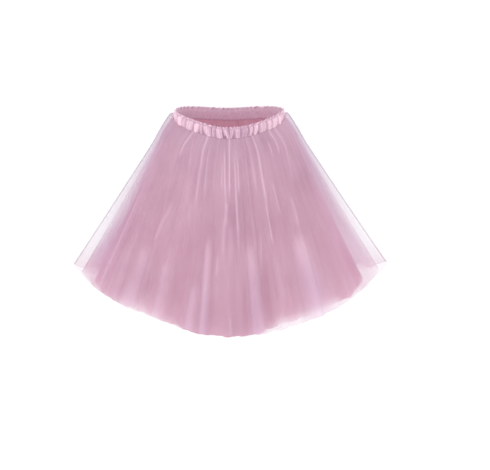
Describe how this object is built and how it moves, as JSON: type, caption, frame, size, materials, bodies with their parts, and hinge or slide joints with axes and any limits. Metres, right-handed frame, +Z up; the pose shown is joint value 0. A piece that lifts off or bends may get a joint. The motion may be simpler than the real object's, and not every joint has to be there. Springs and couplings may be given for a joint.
{
  "type": "tulle skirt",
  "caption": "Short layered tulle skirt gathered into a ruched satin elastic casing, hollow and open at waist and hem, in the shape it has when worn.",
  "frame": {"origin": "centre of the waist, at the middle of the casing's height at the sides", "axes": "+Z up out of the waist, the skirt's front faces -Y, +X is the wearer's left"},
  "size_m": [0.6798, 0.4891, 0.3974],
  "materials": {
    "ruched_satin": "soft sheen, ruched polyester satin",
    "tulle_outer": "sheer fine nylon net, faint sheen",
    "tulle_middle": "sheer fine nylon net, faint sheen",
    "tulle_inner": "dense fine nylon net, nearly opaque"
  },
  "bodies": {
    "root": {"waist_casing": "ruched_satin", "tulle_outer_front": "tulle_outer", "tulle_outer_back": "tulle_outer", "tulle_middle_front": "tulle_middle", "tulle_middle_back": "tulle_middle", "tulle_inner_front": "tulle_inner", "tulle_inner_back": "tulle_inner"}
  },
  "joints": []
}
